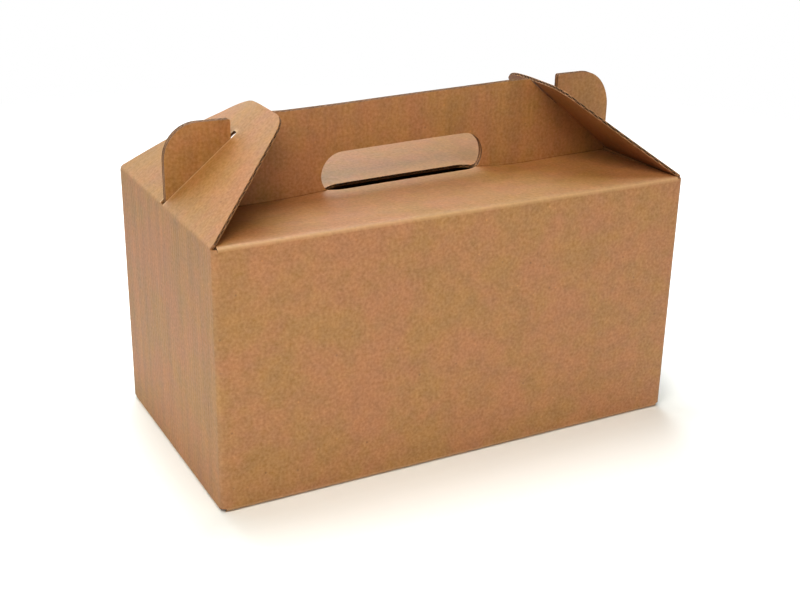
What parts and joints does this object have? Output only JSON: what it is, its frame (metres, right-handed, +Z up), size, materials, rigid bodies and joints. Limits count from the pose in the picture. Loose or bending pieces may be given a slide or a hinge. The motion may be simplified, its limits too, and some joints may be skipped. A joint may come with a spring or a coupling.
{
  "type": "kraft carry box",
  "caption": "Folded kraft corrugated carry box with a raised handle panel, a hand hole and slotted end flaps that lock over rounded ears.",
  "frame": {"origin": "centre of the ground rectangle, on the surface that the box stands on", "axes": "+X along the box's length, +Y to the rear, +Z up"},
  "size_m": [0.3, 0.16, 0.2047],
  "materials": {
    "kraft_board": "matt brown kraft liner with faint fluting",
    "kraft_flap": "matt brown kraft liner with faint fluting"
  },
  "bodies": {
    "carton": {"carton": "kraft_board"},
    "left_flap": {"left_end_flap": "kraft_flap"},
    "right_flap": {"right_end_flap": "kraft_flap"}
  },
  "joints": [
    {"name": "left_flap_crease", "type": "hinge", "parent": "carton", "child": "left_flap", "pos_m": [-0.15, 0, 0.1545], "axis": [0, -1, 0], "range_deg": [0, 220]},
    {"name": "right_flap_crease", "type": "hinge", "parent": "carton", "child": "right_flap", "pos_m": [0.15, 0, 0.1545], "axis": [0, 1, 0], "range_deg": [0, 220]}
  ]
}
